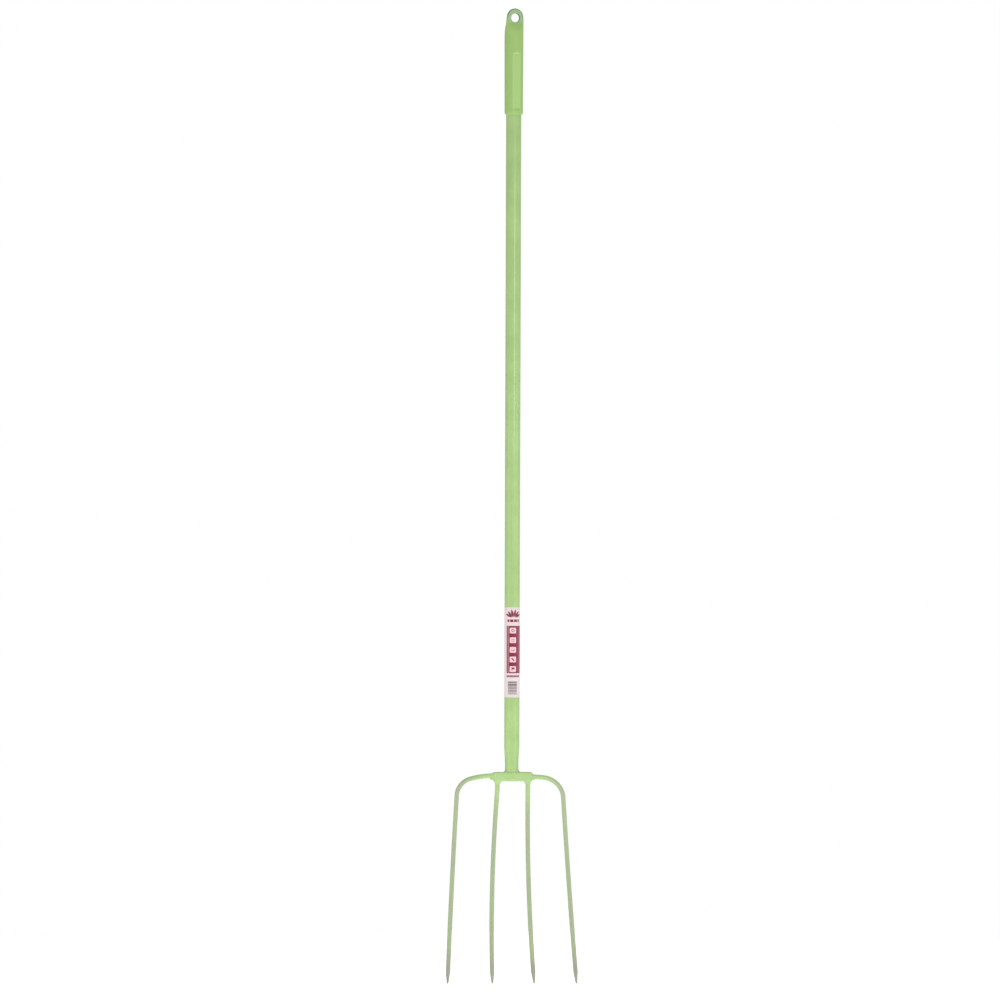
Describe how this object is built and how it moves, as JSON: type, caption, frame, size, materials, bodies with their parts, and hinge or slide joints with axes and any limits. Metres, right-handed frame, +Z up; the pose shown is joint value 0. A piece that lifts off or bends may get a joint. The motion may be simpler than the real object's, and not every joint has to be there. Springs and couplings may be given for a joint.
{
  "type": "long-handled manure fork",
  "caption": "Long-handled garden fork: straight steel tube with a moulded hand grip and hang hole, swaged and welded to a short bar with slender dished tines.",
  "frame": {"origin": "centre of the hang hole, in the middle of the hang tab's thickness", "axes": "+Z up along the shaft, away from the tines; -Y to the front, the side that the points curve towards; -X to the left as seen from the front. The shaft's axis is parallel to Z, a few millimetres behind the origin."},
  "size_m": [0.2092, 0.0525, 1.5348],
  "materials": {
    "grip_plastic": "moulded, satin",
    "shaft_paint": "powder coated, satin",
    "head_paint": "powder coated, satin",
    "label_film": "printed film",
    "bare_steel": "mill finish"
  },
  "bodies": {
    "root": {"hand_grip": "grip_plastic", "shaft_tube": "shaft_paint", "label": "label_film", "tang": "bare_steel", "bridge_bar": "head_paint", "neck_weld": "head_paint", "inner_tine_left": "head_paint", "inner_tine_left_weld": "head_paint", "inner_tine_right": "head_paint", "inner_tine_right_weld": "head_paint", "outer_tine_left": "head_paint", "outer_tine_left_weld": "head_paint", "outer_tine_right": "head_paint", "outer_tine_right_weld": "head_paint"}
  },
  "joints": []
}
